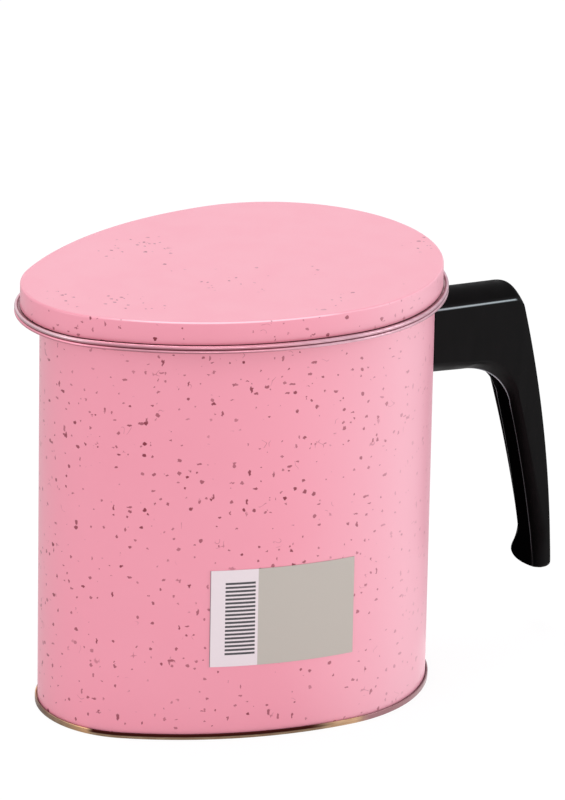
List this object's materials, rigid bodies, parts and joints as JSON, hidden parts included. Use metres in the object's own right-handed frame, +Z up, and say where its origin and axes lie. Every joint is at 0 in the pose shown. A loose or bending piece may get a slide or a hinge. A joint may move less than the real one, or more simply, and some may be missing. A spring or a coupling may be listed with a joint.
{
  "type": "bacon grease container",
  "caption": "Egg-shaped tinplate fat-straining pot with a loose lid, a lift-out gauze strainer and a moulded side handle, standing on a seamed bottom rim.",
  "frame": {"origin": "bottom centre of the box that holds the whole closed pot, handle included", "axes": "+X from the narrow pouring end to the handle, +Y to the left of someone looking along +X, +Z up"},
  "size_m": [0.1992, 0.1148, 0.15],
  "materials": {
    "speckled_paint": "smooth satin coat, pink with small dark maroon specks",
    "tinplate": "bright rolled tinplate, softly reflective",
    "gold_lacquer": "tinplate under thin gold-brown lacquer",
    "wire_gauze": "fine woven wire",
    "steel": "zinc-plated, dull bright",
    "black_phenolic": "black moulded plastic, satin",
    "paper": "coated paper stuck flat, off-white and grey-beige"
  },
  "bodies": {
    "pot": {"bottom_end": "gold_lacquer", "body_shell": "speckled_paint", "pouring_collar": "tinplate", "product_label": "paper", "handle_bracket": "steel", "handle": "black_phenolic", "handle_screw": "steel", "lock_washer": "steel", "clamp_nut": "steel", "bracket_rivet_1": "steel", "bracket_rivet_2": "steel", "bracket_rivet_3": "steel", "bracket_rivet_4": "steel"},
    "strainer": {"strainer_pan": "tinplate", "strainer_mesh": "wire_gauze", "mesh_clamp_ring": "tinplate"},
    "lid": {"lid_shell": "speckled_paint"}
  },
  "joints": [
    {"name": "strainer_lift", "type": "slide", "parent": "pot", "child": "strainer", "axis": [0, 0, 1], "range_m": [0, 0.06]},
    {"name": "lid_lift", "type": "slide", "parent": "strainer", "child": "lid", "axis": [0, 0, 1], "range_m": [0, 0.06]}
  ]
}
